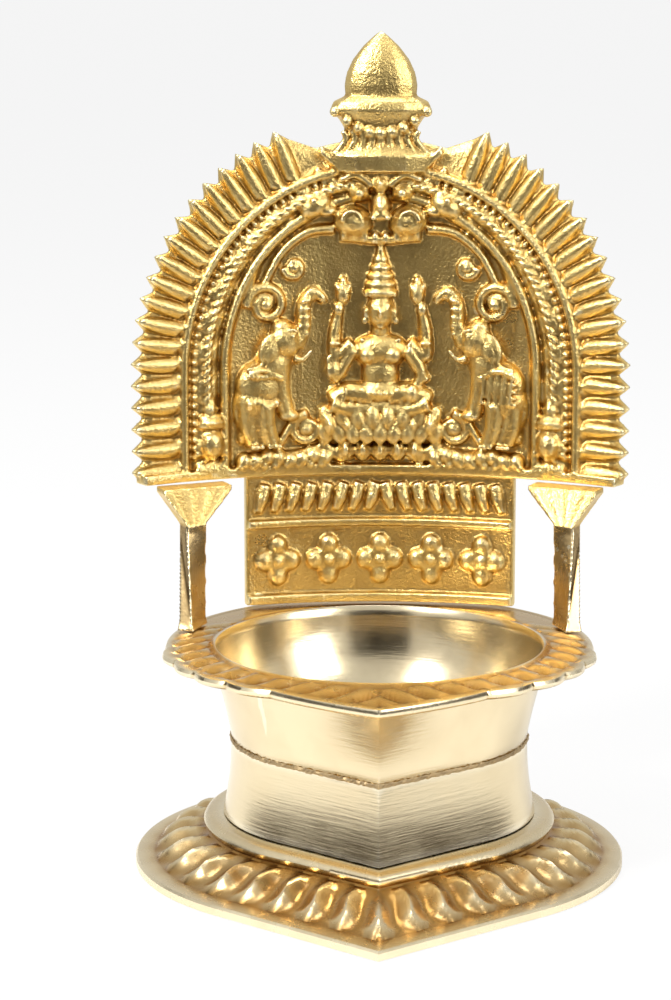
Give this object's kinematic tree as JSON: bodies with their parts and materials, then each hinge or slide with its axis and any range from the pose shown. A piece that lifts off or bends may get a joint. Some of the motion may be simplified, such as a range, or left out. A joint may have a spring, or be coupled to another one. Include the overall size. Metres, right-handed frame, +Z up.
{
  "type": "gajalakshmi oil lamp",
  "caption": "Cast brass oil lamp: leaf-shaped foot and pedestal, round oil bowl in a leaf-shaped rim, pillars and a flame-edged back plate with a seated goddess, elephants and finial.",
  "frame": {"origin": "middle of the foot's bounding box, on the surface that the foot stands on", "axes": "+Z up through the finial, -Y out of the foot's front point, X across the back plate"},
  "size_m": [0.111, 0.122, 0.178],
  "materials": {
    "pale_polished_brass": "turned and polished, lightly scratched",
    "gold_cast_brass": "as cast, rubbed bright on the high places",
    "rubbed_gold_brass": "filed and rubbed"
  },
  "bodies": {
    "root": {"foot_casting": "rubbed_gold_brass", "pedestal_casting": "pale_polished_brass", "bowl_casting": "pale_polished_brass", "back_plate": "gold_cast_brass", "pillar_left": "rubbed_gold_brass", "pillar_right": "rubbed_gold_brass"}
  },
  "joints": []
}
